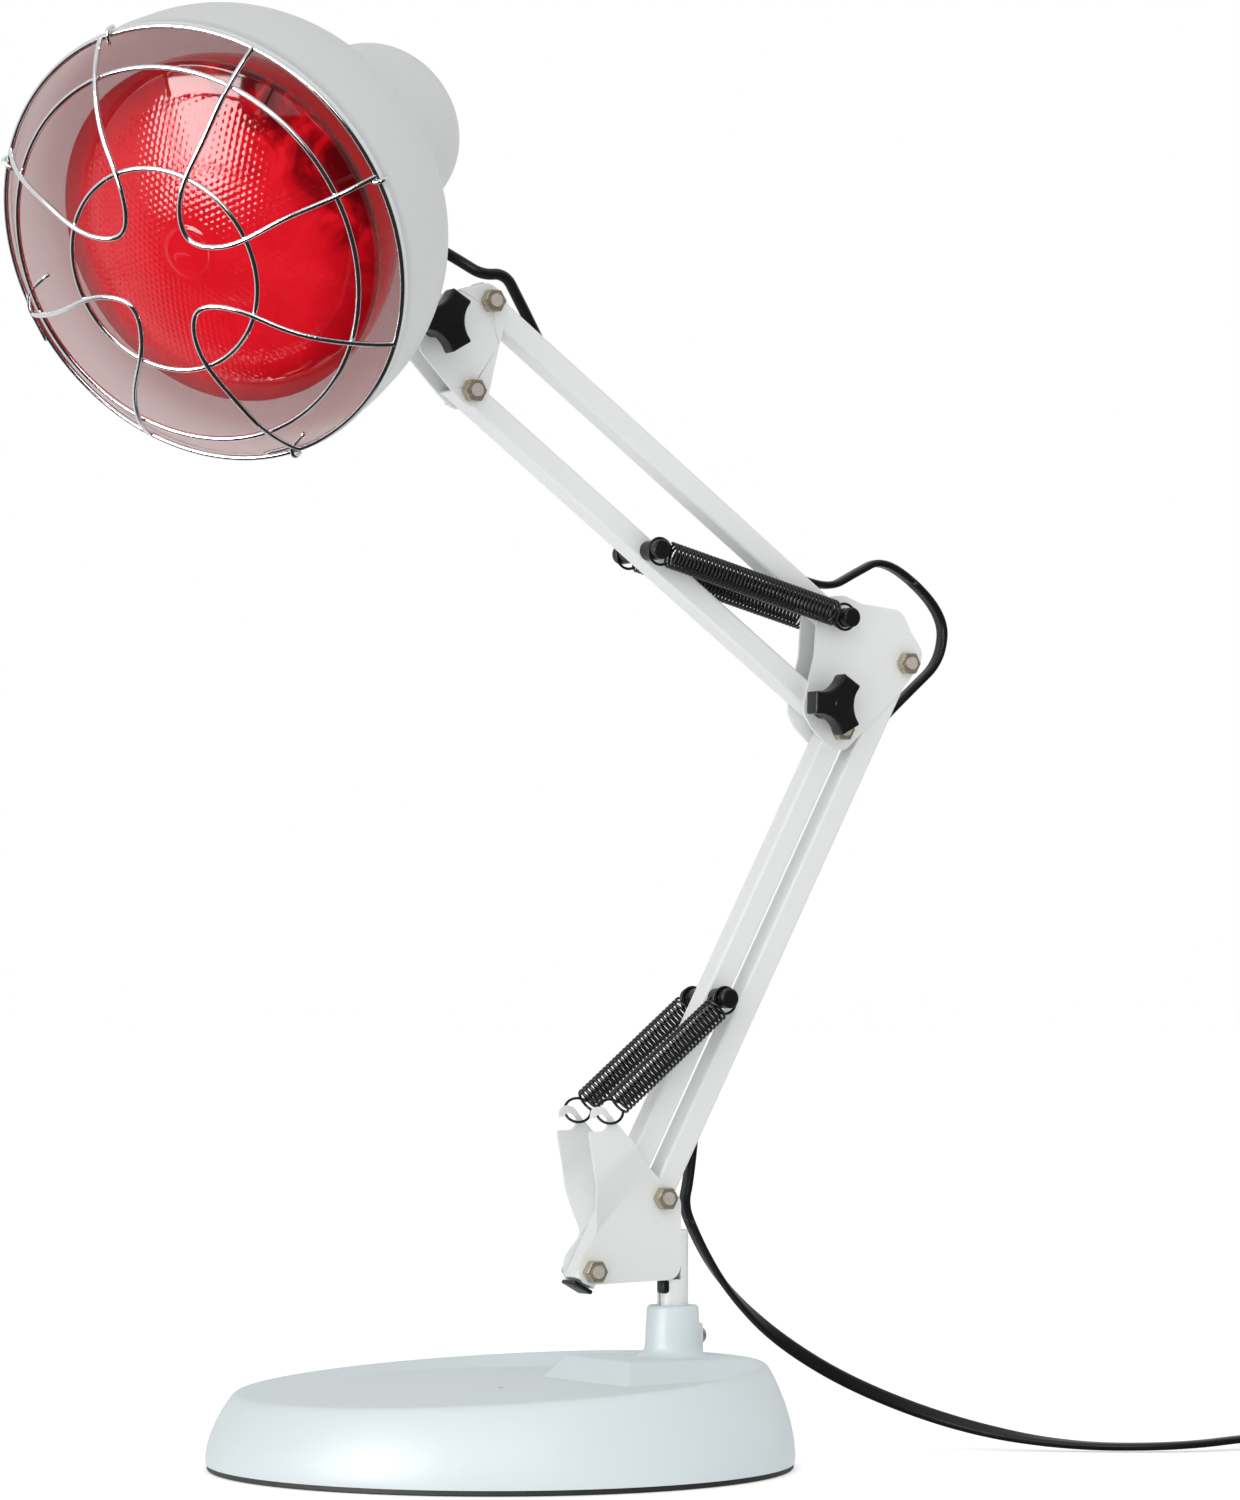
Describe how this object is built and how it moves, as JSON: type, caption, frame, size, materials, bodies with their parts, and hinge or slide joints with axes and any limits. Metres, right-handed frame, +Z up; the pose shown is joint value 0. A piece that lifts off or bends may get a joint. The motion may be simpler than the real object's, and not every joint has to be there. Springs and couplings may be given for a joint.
{
  "type": "infrared heat therapy lamp",
  "caption": "infrared heat therapy lamp with a red reflector bulb behind a wire guard, on a spring-balanced double parallelogram arm with a round weighted base",
  "frame": {"origin": "centre of the underside of the round base, on the table", "axes": "+Z up; the arm's plane is XZ, its lower bars lean towards +X and the head is over -X; the nuts and clamping knobs face -Y"},
  "size_m": [0.6319, 0.2837, 0.5223],
  "materials": {
    "base_paint": "satin",
    "arm_paint": "satin",
    "shade_paint": "satin",
    "weight_iron": "rough",
    "zinc_sheet": "satin",
    "zinc": "satin",
    "black_steel": "satin",
    "nylon": "matte",
    "black_plastic": "matte",
    "rubber": "matte",
    "cord_vinyl": "satin",
    "porcelain": "gloss",
    "red_glass": "gloss",
    "silvered_glass": "gloss",
    "nickel": "polished",
    "chrome": "polished"
  },
  "bodies": {
    "base": {"base_shell": "base_paint", "base_cover": "zinc_sheet", "foot_pad": "rubber", "base_weight": "weight_iron", "cover_screws": "zinc", "column_bush": "nylon", "clamp_screw": "zinc", "cord_on_table": "cord_vinyl", "cord_to_coil": "cord_vinyl", "cord_to_plug": "cord_vinyl", "cord_coil": "cord_vinyl", "switch_base": "black_plastic", "switch_cover": "black_plastic", "rocker_pin": "zinc", "plug_body": "black_plastic", "plug_pins": "nickel"},
    "column": {"lower_bracket": "arm_paint", "lower_bolts": "zinc", "lower_nuts": "zinc"},
    "right_arm": {"right_bar": "arm_paint", "cord_in_lower_bar": "cord_vinyl", "cord_exit": "cord_vinyl", "cord_elbow_lower": "cord_vinyl"},
    "left_arm": {"left_bar": "arm_paint", "lower_spring_post": "black_steel", "lower_springs": "black_steel"},
    "elbow": {"elbow_plates": "arm_paint", "elbow_bolts": "zinc", "elbow_nuts": "zinc", "elbow_spring_stud": "black_steel", "elbow_knob_bolt": "zinc"},
    "elbow_clamp": {"elbow_knob": "black_plastic"},
    "upper_boom": {"boom_upper": "arm_paint", "cord_in_boom": "cord_vinyl", "cord_elbow_upper": "cord_vinyl"},
    "under_boom": {"boom_lower": "arm_paint", "upper_spring_post": "black_steel", "upper_springs": "black_steel"},
    "head_bracket": {"head_plates": "arm_paint", "head_bolts": "zinc", "head_nuts": "zinc", "head_knob_bolt": "zinc", "cord_head": "cord_vinyl"},
    "head_clamp": {"head_knob": "black_plastic"},
    "head_neck": {"neck": "arm_paint", "swivel_nut": "zinc"},
    "shade": {"shade_shell": "shade_paint", "lamp_cap": "shade_paint", "cord_grommet": "rubber", "cord_in_cap": "cord_vinyl", "lampholder": "porcelain", "holder_screws": "zinc", "bulb_lens": "red_glass", "bulb_reflector": "silvered_glass", "bulb_cap": "nickel", "bulb_contact": "nickel", "guard_rings": "chrome", "guard_loops": "chrome", "guard_clips": "chrome"},
    "rocker": {"switch_rocker": "black_plastic"}
  },
  "joints": [
    {"name": "column_swivel", "type": "hinge", "parent": "base", "child": "column", "pos_m": [0.0752, 0, 0], "axis": [0, 0, 1], "range_deg": [-75, 75], "deforming": ["cord_on_table", "cord_exit"]},
    {"name": "lower_arm", "type": "hinge", "parent": "column", "child": "right_arm", "pos_m": [0.0672, 0, 0.097], "axis": [0, 1, 0], "range_deg": [-40, 6], "deforming": ["cord_exit"]},
    {"name": "lower_arm_back", "type": "hinge", "parent": "column", "child": "left_arm", "pos_m": [0.03613, 0, 0.07056], "axis": [0, 1, 0], "range_deg": [-40, 6], "deforming": ["lower_springs"]},
    {"name": "elbow_level", "type": "hinge", "parent": "right_arm", "child": "elbow", "pos_m": [0.17915, 0, 0.30123], "axis": [0, 1, 0], "range_deg": [-6, 40], "deforming": ["cord_elbow_lower", "cord_elbow_upper"]},
    {"name": "elbow_clamp_turn", "type": "hinge", "parent": "elbow", "child": "elbow_clamp", "pos_m": [0.13964, 0, 0.28387], "axis": [0, 1, 0], "continuous": true},
    {"name": "upper_arm", "type": "hinge", "parent": "elbow", "child": "upper_boom", "pos_m": [0.1478, 0, 0.3176], "axis": [0, 1, 0], "range_deg": [-40, 30], "deforming": ["cord_elbow_upper", "cord_elbow_lower"]},
    {"name": "upper_arm_under", "type": "hinge", "parent": "elbow", "child": "under_boom", "pos_m": [0.13964, 0, 0.28387], "axis": [0, 1, 0], "range_deg": [-40, 30], "deforming": ["upper_springs"]},
    {"name": "head_level", "type": "hinge", "parent": "upper_boom", "child": "head_bracket", "pos_m": [-0.00823, 0, 0.42889], "axis": [0, 1, 0], "range_deg": [-30, 40], "deforming": ["cord_head"]},
    {"name": "head_clamp_turn", "type": "hinge", "parent": "head_bracket", "child": "head_clamp", "pos_m": [-0.033, 0, 0.419], "axis": [0, 1, 0], "continuous": true},
    {"name": "head_tilt", "type": "hinge", "parent": "head_bracket", "child": "head_neck", "pos_m": [-0.033, 0, 0.419], "axis": [0, 1, 0], "range_deg": [-40, 45], "deforming": ["cord_head"]},
    {"name": "shade_swivel", "type": "hinge", "parent": "head_neck", "child": "shade", "pos_m": [-0.06768, 0, 0.4798], "axis": [-0.4955, 0, 0.8686], "range_deg": [-85.9, 34.1], "deforming": ["cord_head"]},
    {"name": "switch_rock", "type": "hinge", "parent": "base", "child": "rocker", "pos_m": [0.329, -0.092, 0.012], "axis": [0, 1, 0], "range_deg": [-6.5, 6.5]}
  ],
  "couplings": [
    {"joint": "lower_arm_back", "follows": "lower_arm", "ratio": 1},
    {"joint": "elbow_level", "follows": "lower_arm", "ratio": -1},
    {"joint": "upper_arm_under", "follows": "upper_arm", "ratio": 1},
    {"joint": "head_level", "follows": "upper_arm", "ratio": -1}
  ]
}
